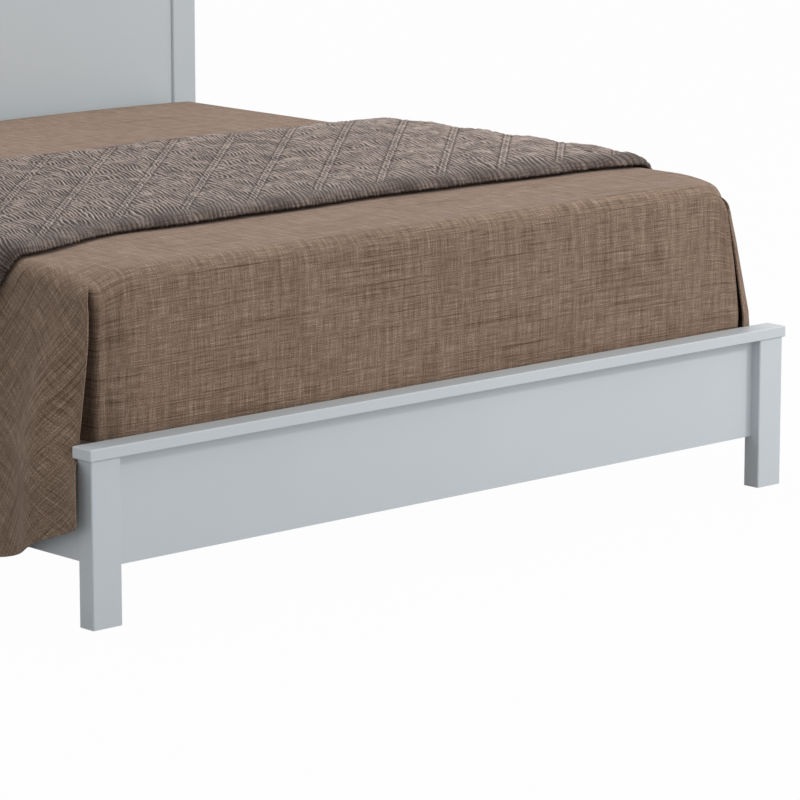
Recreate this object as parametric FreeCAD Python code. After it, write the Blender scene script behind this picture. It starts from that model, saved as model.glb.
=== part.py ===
import FreeCAD, Part
import math
import os

# Storage platform bed, king size, dressed with a coverlet and a blanket.
# Millimetres. X runs across the bed, Y from the foot to the head, Z up from the floor.
# The origin is on the floor, at the middle of the bed's outline.

# Mattress
mattress_width = 1930.0
mattress_length = 2030.0
mattress_thickness = 378.0
mattress_crown = 8.0
mattress_top_radius = 34.0
mattress_bottom_radius = 24.0
mattress_corner_radius = 26.0
mattress_side_swell = 6.0
mattress_side_gap = 22.0
mattress_foot_gap = 24.0
mattress_head_gap = 10.0
cutter_margin = 1.0

# Legs, posts, caps and panels of the two ends
leg_width = 75.0
leg_depth = 45.0
footboard_height = 372.0
headboard_height = 1150.0
cap_thickness = 25.0
cap_side_overhang = 6.0
cap_outer_overhang = 5.0
cap_bed_overhang = 9.0
panel_thickness = 18.0
panel_recess = 25.0
panel_tongue = 8.0
footboard_panel_floor_gap = 119.0
headboard_panel_inset = 8.0
arris = 2.0

# Side frames
rail_thickness = 25.0
rail_reveal = 3.0
rail_floor_gap = 136.0
rail_height = 200.0
top_rail_height = 70.0
stile_length = 380.0
ledger_width = 25.0
ledger_height = 38.0

# Slatted deck and its centre support
slat_recess = 11.0
slat_thickness = 18.0
slat_width = 70.0
slat_count = 15
slat_end_gap = 32.0
slat_rail_gap = 2.0
beam_width = 45.0
beam_height = 60.0
cleat_thickness = 22.0
hanger_thickness = 3.0
hanger_depth = 40.0
hanger_lip = 30.0
centre_leg_size = 45.0
centre_leg_count = 3
pad_diameter = 40.0
pad_height = 9.0

# Drawers and their runners
partition_thickness = 18.0
partition_floor_gap = 150.0
drawer_gap = 3.0
drawer_box_lift = 16.0
drawer_box_height = 92.0
drawer_box_depth = 620.0
drawer_board = 15.0
drawer_bottom_thickness = 6.0
drawer_bottom_rise = 8.0
drawer_groove = 6.0
runner_space = 13.0
runner_height = 45.0
runner_length = 560.0
runner_wall = 1.5
runner_channel_depth = 11.0
runner_clearance = 0.5

# Corner brackets, bolts and dowels
bracket_leaf = 40.0
bracket_thickness = 3.0
bracket_height = 90.0
bracket_rise = 18.0
bolt_diameter = 8.0
bolt_length = 20.0
bolt_head_width = 13.0
bolt_head_height = 5.0
bolt_end_distance = 22.0
bolt_fit = 0.2
dowel_diameter = 10.0
dowel_in_cap = 14.0
dowel_in_leg = 26.0
dowel_spacing = 38.0
dowel_fit = 0.1

# Bed linen
cloth_gap = 0.4
coverlet_thickness = 5.0
coverlet_tuck = 26.0
coverlet_head_gap = 60.0
flap_cap_gap = 7.0
drop_rail_gap = 7.0
drop_break_rise = 16.0
drop_middle_fall = 150.0
drop_middle_flare = 16.0
drop_foot_hem = 205.0
drop_hem = 98.0
drop_hem_run = 420.0
drop_fold_depth = 15.0
drop_fold_count = 5
drop_steps_per_fold = 6
blanket_thickness = 26.0
blanket_ease = 1.6
blanket_foot_reach = 343.0
blanket_width = 965.0
blanket_hang = 235.0
blanket_side_sweep = 150.0
blanket_corner_sweep = 0.45
blanket_top_steps = 4
blanket_bend_steps = 3

# Places that follow from the sizes above
half_width = mattress_width / 2 + mattress_side_gap + rail_thickness + rail_reveal
rail_outer = half_width - rail_reveal
rail_inner = rail_outer - rail_thickness
leg_inner = half_width - leg_width
inner_length = mattress_foot_gap + mattress_length + mattress_head_gap
foot_back = -inner_length / 2
foot_front = foot_back - leg_depth
head_front = inner_length / 2
head_back = head_front + leg_depth
rail_top = rail_floor_gap + rail_height
top_rail_bottom = rail_top - top_rail_height
slat_top = rail_top - slat_recess
slat_bottom = slat_top - slat_thickness
footboard_cap_bottom = footboard_height - cap_thickness
headboard_cap_bottom = headboard_height - cap_thickness
foot_panel_front = foot_front + panel_recess
foot_panel_back = foot_panel_front + panel_thickness
head_panel_front = head_front + headboard_panel_inset
head_panel_back = head_panel_front + panel_thickness
cleat_back = foot_panel_back + cleat_thickness
head_rail_front = head_panel_back - rail_thickness
beam_bottom = slat_bottom - beam_height
opening_foot = foot_back + stile_length
opening_head = head_front - stile_length
mattress_foot = foot_back + mattress_foot_gap
mattress_head = head_front - mattress_head_gap
mattress_top = slat_top + mattress_thickness
seam_height = mattress_top - mattress_top_radius
sides = (("left", -1), ("right", 1))
parallel_tolerance = 0.001


def point(x, y, z):
    return FreeCAD.Vector(x, y, z)


def board(x_span, y_span, z_span):
    """A board between pairs of limits, given in either order."""
    low = point(min(x_span), min(y_span), min(z_span))
    high = point(max(x_span), max(y_span), max(z_span))
    size = high - low
    return Part.makeBox(size.x, size.y, size.z, low)


def edges_along(shape, direction):
    """The straight edges of a board that run along one direction."""
    edges = []
    for edge in shape.Edges:
        along = edge.Vertexes[1].Point - edge.Vertexes[0].Point
        if along.cross(direction).Length < parallel_tolerance * along.Length:
            edges.append(edge)
    return edges


def ease(shape, direction):
    """Take the sharp arris off the edges of a board that run along one direction."""
    return shape.makeChamfer(arris, edges_along(shape, direction))


def rod(diameter, start, direction, length):
    return Part.makeCylinder(diameter / 2, length, start, direction)


def arc(first, middle, last):
    return Part.Arc(first, middle, last).toShape()


def line(first, last):
    return Part.LineSegment(first, last).toShape()


def save(name, *solids):
    shape = solids[0] if len(solids) == 1 else Part.makeCompound(list(solids))
    shape.exportStep("parts/" + name + ".step")


def dowel_centres(sign):
    """Two dowels stand in the top of each leg, side by side."""
    centre = sign * (half_width - leg_width / 2)
    return (centre - dowel_spacing / 2, centre + dowel_spacing / 2)


def bracket_bolt_heights():
    low = rail_floor_gap + bracket_rise
    return (low + bolt_end_distance, low + bracket_height - bolt_end_distance)


def bolt_distance():
    """How far the bolts stand from the inside corner, along either leaf."""
    return bracket_thickness + (bracket_leaf - bracket_thickness) / 2


def leg_bolt_x(sign):
    return sign * (rail_inner - bolt_distance())


def upright(sign, y_span, top, panel_span, panel_low, bolt_face, bolt_way):
    """A leg or post with its panel groove, dowel holes and bracket bolt holes."""
    shape = board((sign * leg_inner, sign * half_width), y_span, (0, top))
    shape = ease(shape, point(0, 0, 1))
    groove_x = (sign * leg_inner, sign * (leg_inner + panel_tongue))
    shape = shape.cut(board(groove_x, panel_span, (panel_low, top)))
    middle = sum(y_span) / 2
    hole = dowel_diameter + 2 * dowel_fit
    for x in dowel_centres(sign):
        shape = shape.cut(rod(hole, point(x, middle, top), point(0, 0, -1), dowel_in_leg))
    hole = bolt_diameter + 2 * bolt_fit
    for z in bracket_bolt_heights():
        start = point(leg_bolt_x(sign), bolt_face, z)
        shape = shape.cut(rod(hole, start, point(0, bolt_way, 0), bolt_length))
    return shape


def cap(y_span, bottom, leg_middle):
    """A flat cap board with eased edges, bored underneath for the dowels of the two legs."""
    reach = half_width + cap_side_overhang
    shape = board((-reach, reach), y_span, (bottom, bottom + cap_thickness))
    shape = shape.makeChamfer(arris, shape.Edges)
    hole = dowel_diameter + 2 * dowel_fit
    for side, sign in sides:
        for x in dowel_centres(sign):
            start = point(x, leg_middle, bottom)
            shape = shape.cut(rod(hole, start, point(0, 0, 1), dowel_in_cap))
    return shape


def dowels(leg_middle, top):
    length = dowel_in_cap + dowel_in_leg
    pins = []
    for side, sign in sides:
        for x in dowel_centres(sign):
            start = point(x, leg_middle, top - dowel_in_leg)
            pins.append(rod(dowel_diameter, start, point(0, 0, 1), length))
    return pins


def make_footboard():
    y_span = (foot_front, foot_back)
    panel_span = (foot_panel_front, foot_panel_back)
    top = footboard_cap_bottom
    middle = sum(y_span) / 2
    for side, sign in sides:
        leg = upright(sign, y_span, top, panel_span, footboard_panel_floor_gap, foot_back, -1)
        save("footboard_leg_" + side, leg)
    reach = leg_inner + panel_tongue
    panel = board((-reach, reach), panel_span, (footboard_panel_floor_gap, top))
    save("footboard_panel", panel)
    cap_span = (foot_front - cap_outer_overhang, foot_back + cap_bed_overhang)
    save("footboard_cap", cap(cap_span, top, middle))
    cleat = board((-leg_inner, leg_inner), (foot_panel_back, cleat_back), (beam_bottom, slat_bottom))
    save("footboard_cleat", ease(cleat, point(1, 0, 0)))
    return dowels(middle, top)


def make_headboard():
    y_span = (head_front, head_back)
    panel_span = (head_panel_front, head_panel_back)
    top = headboard_cap_bottom
    middle = sum(y_span) / 2
    for side, sign in sides:
        post = upright(sign, y_span, top, panel_span, rail_top, head_front, 1)
        save("headboard_post_" + side, post)
    reach = leg_inner + panel_tongue
    save("headboard_panel", board((-reach, reach), panel_span, (rail_top, top)))
    cap_span = (head_front - cap_bed_overhang, head_back + cap_outer_overhang)
    save("headboard_cap", cap(cap_span, top, middle))
    rail_span = (head_rail_front, head_panel_back)
    lower = board((-leg_inner, leg_inner), rail_span, (rail_floor_gap, rail_top))
    save("headboard_lower_rail", lower)
    return dowels(middle, top)


def stile(sign, y_span, bolt_y):
    """The fixed board below the top rail, at either end of the drawer."""
    face = (sign * rail_inner, sign * rail_outer)
    shape = board(face, y_span, (rail_floor_gap, top_rail_bottom))
    hole = bolt_diameter + 2 * bolt_fit
    for z in bracket_bolt_heights():
        start = point(sign * rail_inner, bolt_y, z)
        shape = shape.cut(rod(hole, start, point(sign, 0, 0), bolt_length))
    return shape


def make_side_frame(side, sign):
    face = (sign * rail_inner, sign * rail_outer)
    length = (foot_back, head_front)
    top_rail = board(face, length, (top_rail_bottom, rail_top))
    save("rail_" + side, ease(top_rail, point(0, 1, 0)))
    save("stile_foot_" + side, stile(sign, (foot_back, opening_foot), foot_back + bolt_distance()))
    save("stile_head_" + side, stile(sign, (opening_head, head_front), head_front - bolt_distance()))
    ledger_x = (sign * (rail_inner - ledger_width), sign * rail_inner)
    save("ledger_" + side, board(ledger_x, length, (slat_bottom - ledger_height, slat_bottom)))


def partition(sign, y_span):
    """A board across the bed that carries a drawer runner, notched under the ledger."""
    x_span = (sign * beam_width / 2, sign * rail_inner)
    shape = board(x_span, y_span, (partition_floor_gap, slat_bottom))
    notch_x = (sign * (rail_inner - ledger_width), sign * rail_inner)
    return shape.cut(board(notch_x, y_span, (slat_bottom - ledger_height, slat_bottom)))


def make_partitions(side, sign):
    foot_span = (opening_foot - partition_thickness, opening_foot)
    head_span = (opening_head, opening_head + partition_thickness)
    save("partition_foot_" + side, partition(sign, foot_span))
    save("partition_head_" + side, partition(sign, head_span))


def make_deck():
    reach = rail_inner - slat_rail_gap
    first = foot_back + slat_end_gap
    last = head_front - slat_end_gap - slat_width
    slats = []
    for index in range(slat_count):
        y = first + (last - first) * index / (slat_count - 1)
        slat = board((-reach, reach), (y, y + slat_width), (slat_bottom, slat_top))
        slats.append(ease(slat, point(1, 0, 0)))
    save("slats", *slats)
    beam_x = (-beam_width / 2, beam_width / 2)
    save("centre_beam", board(beam_x, (cleat_back, head_rail_front), (beam_bottom, slat_bottom)))


def hanger(y_face, way):
    """A folded saddle that holds one end of the centre beam against y_face."""
    outer = beam_width / 2 + hanger_thickness
    low = beam_bottom - hanger_thickness
    shape = board((-outer, outer), (y_face, y_face + way * hanger_depth), (low, low + hanger_lip))
    beam_x = (-beam_width / 2, beam_width / 2)
    return shape.cut(board(beam_x, (y_face, y_face + way * hanger_depth), (beam_bottom, slat_bottom)))


def make_centre_support():
    save("beam_hangers", hanger(cleat_back, 1), hanger(head_rail_front, -1))
    spacing = inner_length / (centre_leg_count + 1)
    half = centre_leg_size / 2
    pads = []
    for index in range(centre_leg_count):
        y = foot_back + spacing * (index + 1)
        leg = board((-half, half), (y - half, y + half), (pad_height, beam_bottom))
        save("centre_leg_%d" % (index + 1), ease(leg, point(0, 0, 1)))
        pad = rod(pad_diameter, point(0, y, 0), point(0, 0, 1), pad_height)
        pads.append(pad.makeChamfer(arris, [pad.Edges[2]]))
    save("centre_leg_pads", *pads)


def hex_bolt(seat, inward):
    """A bolt whose six-sided head lies on the seat, with its shank pointing inward."""
    upright_axis = point(0, 0, 1)
    level_axis = inward.cross(upright_axis)
    radius = bolt_head_width / math.sqrt(3)
    corners = []
    for step in range(7):
        angle = math.pi / 3 * step
        across = level_axis * (radius * math.cos(angle))
        up = upright_axis * (radius * math.sin(angle))
        corners.append(seat + across + up)
    head = Part.Face(Part.makePolygon(corners)).extrude(inward * -bolt_head_height)
    return head.fuse(rod(bolt_diameter, seat, inward, bolt_length))


def make_corner_hardware():
    """Angle brackets join each side frame to the legs, each with four bolts."""
    low = rail_floor_gap + bracket_rise
    z_span = (low, low + bracket_height)
    hole = bolt_diameter + 2 * bolt_fit
    brackets = []
    bolts = []
    for side, sign in sides:
        for face, way in ((foot_back, 1), (head_front, -1)):
            corner_x = sign * rail_inner
            leaf_x = (sign * (rail_inner - bracket_leaf), corner_x)
            leaf_y = (face, face + way * bracket_leaf)
            on_leg = board(leaf_x, (face, face + way * bracket_thickness), z_span)
            on_rail = board((corner_x - sign * bracket_thickness, corner_x), leaf_y, z_span)
            bracket = on_leg.fuse(on_rail).removeSplitter()
            for z in bracket_bolt_heights():
                leg_seat = point(leg_bolt_x(sign), face + way * bracket_thickness, z)
                rail_seat = point(corner_x - sign * bracket_thickness, face + way * bolt_distance(), z)
                for seat, inward in ((leg_seat, point(0, -way, 0)), (rail_seat, point(sign, 0, 0))):
                    bracket = bracket.cut(rod(hole, seat, inward, bracket_thickness))
                    bolts.append(hex_bolt(seat, inward))
            brackets.append(bracket)
    save("corner_brackets", *brackets)
    save("corner_bolts", *bolts)


def make_drawer(side, sign):
    """A drawer in the side frame: a flush front on a grooved box with an inset bottom."""
    low = rail_floor_gap + drawer_box_lift
    high = low + drawer_box_height
    bottom_low = low + drawer_bottom_rise
    bottom_high = bottom_low + drawer_bottom_thickness
    box_foot = opening_foot + runner_space
    box_head = opening_head - runner_space
    inner_foot = box_foot + drawer_board
    inner_head = box_head - drawer_board
    box_back = rail_inner - drawer_box_depth
    bottom_y = (inner_foot - drawer_groove, inner_head + drawer_groove)
    bottom_x = (sign * box_back, sign * (rail_inner + drawer_groove))
    bottom = board(bottom_x, bottom_y, (bottom_low, bottom_high))
    front_y = (opening_foot + drawer_gap, opening_head - drawer_gap)
    front_z = (rail_floor_gap, top_rail_bottom - drawer_gap)
    front = board((sign * rail_inner, sign * rail_outer), front_y, front_z)
    front = ease(front, point(0, 1, 0))
    save("drawer_front_" + side, front.cut(bottom))
    x_span = (sign * box_back, sign * rail_inner)
    foot_side = board(x_span, (box_foot, inner_foot), (low, high))
    save("drawer_side_foot_" + side, foot_side.cut(bottom))
    head_side = board(x_span, (inner_head, box_head), (low, high))
    save("drawer_side_head_" + side, head_side.cut(bottom))
    back_x = (sign * box_back, sign * (box_back + drawer_board))
    save("drawer_back_" + side, board(back_x, (inner_foot, inner_head), (bottom_high, high)))
    save("drawer_bottom_" + side, bottom)


def channel(x_span, y_web, way, depth, z_span):
    """A steel channel along X: its web on y_web, its flanges reaching the given way."""
    shape = board(x_span, (y_web, y_web + way * depth), z_span)
    inner_z = (min(z_span) + runner_wall, max(z_span) - runner_wall)
    hollow = board(x_span, (y_web + way * runner_wall, y_web + way * depth), inner_z)
    return shape.cut(hollow)


def make_runners(side, sign):
    """Fixed channels on the partitions, with the drawer's own channels nested in them."""
    middle = rail_floor_gap + drawer_box_lift + drawer_box_height / 2
    fixed_z = (middle - runner_height / 2, middle + runner_height / 2)
    inset = runner_wall + runner_clearance
    sliding_z = (fixed_z[0] + inset, fixed_z[1] - inset)
    x_span = (sign * (rail_inner - runner_length), sign * rail_inner)
    fixed_x = (x_span[0], sign * (rail_inner - runner_clearance))
    sliding_depth = runner_space - inset
    fixed = []
    sliding = []
    for face, way in ((opening_foot, 1), (opening_head, -1)):
        fixed.append(channel(fixed_x, face, way, runner_channel_depth, fixed_z))
        drawer_face = face + way * runner_space
        sliding.append(channel(x_span, drawer_face, -way, sliding_depth, sliding_z))
    save("runner_channels_" + side, *fixed)
    save("drawer_slides_" + side, *sliding)


def soft_profile(half, grow, place):
    """A cushion's outline, grown outwards: swelling sides, round corners and a crowned top."""
    top_radius = mattress_top_radius + grow
    bottom_radius = mattress_bottom_radius + grow
    flank = half + grow - mattress_side_swell
    top_corner = flank - top_radius
    bottom_corner = flank - bottom_radius
    top = mattress_top + grow
    bottom = slat_top - grow
    low_side = bottom + bottom_radius
    waist = (low_side + seam_height) / 2
    top_turn = top_radius * math.sqrt(0.5)
    bottom_turn = bottom_radius * math.sqrt(0.5)

    def half_outline(way):
        """From the middle of the underside round one flank to the edge of the crown."""
        return [line(place(0, bottom), place(way * bottom_corner, bottom)),
                arc(place(way * bottom_corner, bottom),
                    place(way * (bottom_corner + bottom_turn), low_side - bottom_turn),
                    place(way * flank, low_side)),
                arc(place(way * flank, low_side),
                    place(way * (flank + mattress_side_swell), waist),
                    place(way * flank, seam_height)),
                arc(place(way * flank, seam_height),
                    place(way * (top_corner + top_turn), seam_height + top_turn),
                    place(way * top_corner, top))]

    crown = arc(place(top_corner, top), place(0, top + mattress_crown), place(-top_corner, top))
    edges = half_outline(1) + [crown] + half_outline(-1)
    return Part.Face(Part.Wire(Part.__sortEdges__(edges)))


def soft_block(grow):
    """The mattress, or the same form grown outwards: two crowned outlines and a round-cornered plan."""
    half_x = mattress_width / 2 + grow
    half_y = mattress_length / 2 + grow
    middle = (mattress_foot + mattress_head) / 2
    across = soft_profile(mattress_width / 2, grow, lambda u, z: point(u, middle - half_y, z))
    across = across.extrude(point(0, 2 * half_y, 0))
    along = soft_profile(mattress_length / 2, grow, lambda u, z: point(-half_x, middle + u, z))
    along = along.extrude(point(2 * half_x, 0, 0))
    margin = grow + cutter_margin
    plan_x = mattress_width / 2 + margin
    plan_y = mattress_length / 2 + margin
    plan_z = (slat_top - margin, mattress_top + mattress_crown + margin)
    plan = board((-plan_x, plan_x), (middle - plan_y, middle + plan_y), plan_z)
    upright_edges = edges_along(plan, point(0, 0, 1))
    plan = plan.makeFillet(mattress_corner_radius + margin, upright_edges)
    return across.common(along).common(plan)


def make_coverlet(outer):
    """One cloth over the mattress top, turned down at the foot and tucked in behind the cap."""
    shell = outer.cut(soft_block(cloth_gap))
    reach = half_width
    head_edge = mattress_head - coverlet_head_gap
    ceiling = mattress_top + mattress_crown + cloth_gap + coverlet_thickness + cutter_margin
    above = board((-reach, reach), (foot_front, head_edge), (seam_height, ceiling))
    tuck_bottom = slat_top + coverlet_tuck
    foot_reach = mattress_width / 2 - mattress_corner_radius
    foot_drop = board((-foot_reach, foot_reach), (foot_front, mattress_foot), (tuck_bottom, seam_height))
    save("coverlet", shell.common(above.fuse(foot_drop)))


def drop_section(sign, y, fold, hem):
    """The side drop cut across at y: down from the seam, out over the rail, then straight to the hem."""
    top_u = mattress_width / 2 - mattress_side_swell + cloth_gap
    break_u = rail_outer + drop_rail_gap + fold
    break_z = rail_top + drop_break_rise
    middle_u = top_u + mattress_side_swell + drop_middle_flare
    middle_z = seam_height - drop_middle_fall
    outline = [(top_u, seam_height), (middle_u, middle_z), (break_u, break_z), (break_u + fold / 2, hem)]
    outside = [(u + coverlet_thickness, z) for u, z in reversed(outline)]
    corners = [point(sign * u, y, z) for u, z in outline + outside]
    return Part.makePolygon(corners + corners[:1])


def hem_height(run):
    """The hem sweeps down from the foot corner and then runs level."""
    share = min(run / drop_hem_run, 1)
    return drop_hem + (drop_foot_hem - drop_hem) * (1 - math.sin(share * math.pi / 2))


def make_side_drop(side, sign):
    """A hanging side of the coverlet, in soft folds along the bed."""
    foot_edge = foot_back + cap_bed_overhang + flap_cap_gap
    length = mattress_head - coverlet_head_gap - foot_edge
    steps = drop_fold_count * drop_steps_per_fold
    sections = []
    for index in range(steps + 1):
        run = length * index / steps
        turn = 2 * math.pi * index / drop_steps_per_fold
        fold = drop_fold_depth * (1 - math.cos(turn)) / 2
        sections.append(drop_section(sign, foot_edge + run, fold, hem_height(run)))
    save("coverlet_drop_" + side, Part.makeLoft(sections, True, True))


def blanket_stations():
    """Places across the bed, from the middle to the right hem, on the blanket's underside.

    Each gives the distance out from the middle, the height, the slope of the surface's outward
    normal and the share of the side sweep that the foot edge has there.
    """
    lift = 2 * cloth_gap + coverlet_thickness + blanket_ease
    corner_u = mattress_width / 2 - mattress_side_swell - mattress_top_radius
    bend = mattress_top_radius + lift
    top = seam_height + bend
    stations = []
    for step in range(blanket_top_steps):
        share = step / blanket_top_steps
        crown = mattress_crown * (1 - share ** 2)
        stations.append((corner_u * share, top + crown, math.pi / 2, blanket_corner_sweep * share ** 4))
    for step in range(blanket_bend_steps + 1):
        angle = math.pi / 2 * (1 - step / blanket_bend_steps)
        u = corner_u + bend * math.cos(angle)
        stations.append((u, seam_height + bend * math.sin(angle), angle, blanket_corner_sweep))
    hang_u = rail_outer + drop_rail_gap + drop_fold_depth + coverlet_thickness
    stations.append((hang_u, seam_height - blanket_hang, 0, 1))
    return stations


def blanket_section(side, station):
    """The blanket cut along the bed: a slab with half-round edges at the foot and the head."""
    u, z, angle, sweep = station
    front = mattress_foot + blanket_foot_reach - blanket_side_sweep * sweep
    back = mattress_foot + blanket_foot_reach + blanket_width
    round_edge = blanket_thickness / 2
    turn = round_edge * math.sqrt(0.5)

    def place(out, y):
        return point(side * (u + out * math.cos(angle)), y, z + out * math.sin(angle))

    near = front + round_edge
    far = back - round_edge
    under = (place(0, near), place(0, far))
    over = (place(blanket_thickness, far), place(blanket_thickness, near))
    back_edge = place(round_edge, back)
    front_edge = place(round_edge, front)
    edges = [line(*under),
             arc(under[1], place(round_edge - turn, far + turn), back_edge),
             arc(back_edge, place(round_edge + turn, far + turn), over[0]),
             line(*over),
             arc(over[1], place(round_edge + turn, near - turn), front_edge),
             arc(front_edge, place(round_edge - turn, near - turn), under[0])]
    return Part.Wire(edges)


def make_blanket():
    """A thick blanket across the bed, its foot edge swept forward towards both sides."""
    right = blanket_stations()
    sections = [blanket_section(-1, station) for station in reversed(right[1:])]
    sections += [blanket_section(1, station) for station in right]
    save("blanket", Part.makeLoft(sections, True, True))


os.makedirs("parts", exist_ok=True)
footboard_dowels = make_footboard()
headboard_dowels = make_headboard()
save("cap_dowels", *footboard_dowels, *headboard_dowels)
for side_name, side_sign in sides:
    make_side_frame(side_name, side_sign)
    make_partitions(side_name, side_sign)
    make_drawer(side_name, side_sign)
    make_runners(side_name, side_sign)
    make_side_drop(side_name, side_sign)
make_deck()
make_centre_support()
make_corner_hardware()
save("mattress", soft_block(0))
make_coverlet(soft_block(cloth_gap + coverlet_thickness))
make_blanket()
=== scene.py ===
# %% [markdown]
# # Dressing a storage platform bed
#
# The boards, drawers and fittings of this bed come ready made, at their real sizes. This lesson adds what
# construction can't give: cloth, paint, bare wood, plated steel and light. Everything is in metres. X runs
# across the bed, Y runs from the foot to the head, and the floor is at Z = 0.

# %% Load the bed
import math

import bpy
import numpy as np
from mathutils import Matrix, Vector, noise


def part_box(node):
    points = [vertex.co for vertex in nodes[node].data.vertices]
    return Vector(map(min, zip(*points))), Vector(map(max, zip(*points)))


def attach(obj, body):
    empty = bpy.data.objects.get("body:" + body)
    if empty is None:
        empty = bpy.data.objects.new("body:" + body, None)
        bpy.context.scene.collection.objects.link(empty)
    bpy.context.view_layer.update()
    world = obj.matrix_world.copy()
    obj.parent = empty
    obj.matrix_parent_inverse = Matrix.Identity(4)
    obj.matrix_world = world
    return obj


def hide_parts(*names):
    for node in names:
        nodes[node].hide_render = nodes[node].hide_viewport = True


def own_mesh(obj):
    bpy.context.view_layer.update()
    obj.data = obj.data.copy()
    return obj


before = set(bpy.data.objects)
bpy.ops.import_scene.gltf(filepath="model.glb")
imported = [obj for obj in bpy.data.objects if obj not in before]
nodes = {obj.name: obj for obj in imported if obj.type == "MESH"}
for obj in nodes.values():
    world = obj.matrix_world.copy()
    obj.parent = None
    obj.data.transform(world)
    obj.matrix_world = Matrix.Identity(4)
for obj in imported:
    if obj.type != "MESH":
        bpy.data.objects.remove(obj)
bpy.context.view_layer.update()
print("boards, fittings and bedding solids loaded:", len(nodes))

# %% [markdown]
# ## The camera
#
# The picture was taken from the front left, a little above the mattress, with a long lens. A long lens
# keeps the legs nearly parallel. A camera could be placed by eye, but here its angle, distance and lens
# come from fitting the corners of the footboard, so every later piece can be compared with the picture.

# %% Place the camera
view_azimuth = math.radians(-42.5)
view_elevation = math.radians(11.36)
view_distance = 8.857
view_target = Vector((-0.1825, -1.077, 0.360))
away = Vector((math.sin(view_azimuth) * math.cos(view_elevation),
               -math.cos(view_azimuth) * math.cos(view_elevation),
               math.sin(view_elevation)))
bpy.ops.object.select_all(action="DESELECT")
bpy.ops.object.camera_add(location=view_target + away * view_distance)
camera = bpy.context.active_object
camera.rotation_euler = (-away).to_track_quat("-Z", "Y").to_euler()
camera.data.sensor_width = 36.0
camera.data.lens = 188.15
bpy.context.scene.camera = camera
print("camera at", [round(part, 3) for part in camera.location])

# %% [markdown]
# ## Helpers for finishes
#
# A finish is a small network of nodes. These helpers add one node, one sum or one mix, so that a finish
# below reads as a recipe. A shared effect, such as a weave, is a node group with named sockets.

# %% Node helpers
def set_sockets(tree, node, sockets):
    """Give a node's sockets a value or a link."""
    for name, value in sockets.items():
        if isinstance(value, bpy.types.NodeSocket):
            tree.links.new(value, node.inputs[name])
        else:
            node.inputs[name].default_value = value


def add_node(tree, kind, sockets=None, **settings):
    """Add a node, set its properties and fill its sockets."""
    made = tree.nodes.new(kind)
    for name, value in settings.items():
        setattr(made, name, value)
    set_sockets(tree, made, sockets or {})
    return made


def calculate(tree, operation, first, second=0.0, third=0.0, clamp=False):
    """One step of arithmetic on values or sockets."""
    sockets = {0: first, 1: second, 2: third}
    made = add_node(tree, "ShaderNodeMath", sockets, operation=operation, use_clamp=clamp)
    return made.outputs[0]


def calculate_place(tree, operation, first, second):
    """One step of arithmetic on places."""
    made = add_node(tree, "ShaderNodeVectorMath", {0: first, 1: second}, operation=operation)
    return made.outputs[0]


def add_noise(tree, place, scale, detail=2.0, dimensions="3D"):
    """Cloudy noise from 0 to 1."""
    sockets = {"Vector": place, "Scale": scale, "Detail": detail}
    made = add_node(tree, "ShaderNodeTexNoise", sockets, noise_dimensions=dimensions)
    return made.outputs[0]


def spread(tree, value, low, high):
    """A value from 0 to 1, spread from low to high."""
    made = add_node(tree, "ShaderNodeMapRange", {"Value": value, "To Min": low, "To Max": high})
    return made.outputs[0]


def mix_colours(tree, factor, first, second, blend="MIX"):
    """Mix two colours by a factor."""
    sockets = {0: factor, 6: first, 7: second}
    made = add_node(tree, "ShaderNodeMix", sockets, data_type="RGBA", blend_type=blend)
    return made.outputs[2]


def tone_ramp(tree, tone, dark, middle, light):
    """Colours along a tone. Each of the three stops is a tone and its colour."""
    made = add_node(tree, "ShaderNodeValToRGB", {0: tone})
    stops = made.color_ramp.elements
    for stop, (place, colour) in zip(stops, (dark, light)):
        stop.position = place
        stop.color = colour
    stops.new(middle[0]).color = middle[1]
    return made.outputs[0]


def linear(red, green, blue):
    """A colour given in screen values from 0 to 255, as the linear colour that shaders use."""
    parts = [part / 255 for part in (red, green, blue)]
    parts = [part / 12.92 if part < 0.04045 else ((part + 0.055) / 1.055) ** 2.4 for part in parts]
    return (*parts, 1.0)


print("node helpers ready")


# %% Group and finish helpers
def start_group(name, inputs, outputs):
    """A new node group with its sockets, and its entry and exit nodes."""
    group = bpy.data.node_groups.new(name, "ShaderNodeTree")
    for socket_name, kind, value in inputs:
        socket = group.interface.new_socket(socket_name, in_out="INPUT", socket_type=kind)
        if value is not None:
            socket.default_value = value
    for socket_name, kind in outputs:
        group.interface.new_socket(socket_name, in_out="OUTPUT", socket_type=kind)
    return group, add_node(group, "NodeGroupInput"), add_node(group, "NodeGroupOutput")


def use_group(tree, group, sockets):
    """Place a node group in a finish, and give its outputs."""
    return add_node(tree, "ShaderNodeGroup", sockets, node_tree=group).outputs


def start_finish(name):
    """A new finish, its node tree and its surface shader."""
    finish = bpy.data.materials.new(name)
    finish.use_nodes = True
    return finish, finish.node_tree, finish.node_tree.nodes["Principled BSDF"]


def object_place(tree):
    """The place on a piece, in metres."""
    return add_node(tree, "ShaderNodeTexCoord").outputs["Object"]


def cloth_place(tree, label):
    """The place on the flat cloth, in metres."""
    return add_node(tree, "ShaderNodeUVMap", uv_map=label).outputs[0]


def point_value(tree, label):
    """A value that the points of a piece carry."""
    return add_node(tree, "ShaderNodeAttribute", attribute_name=label).outputs["Fac"]


def raise_bumps(tree, shader, height, distance, strength):
    """Let a height, from 0 to 1, tilt the surface as if it were that deep in metres."""
    sockets = {"Height": height, "Distance": distance, "Strength": strength}
    bump = add_node(tree, "ShaderNodeBump", sockets)
    tree.links.new(bump.outputs["Normal"], shader.inputs["Normal"])


print("group and finish helpers ready")

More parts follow.
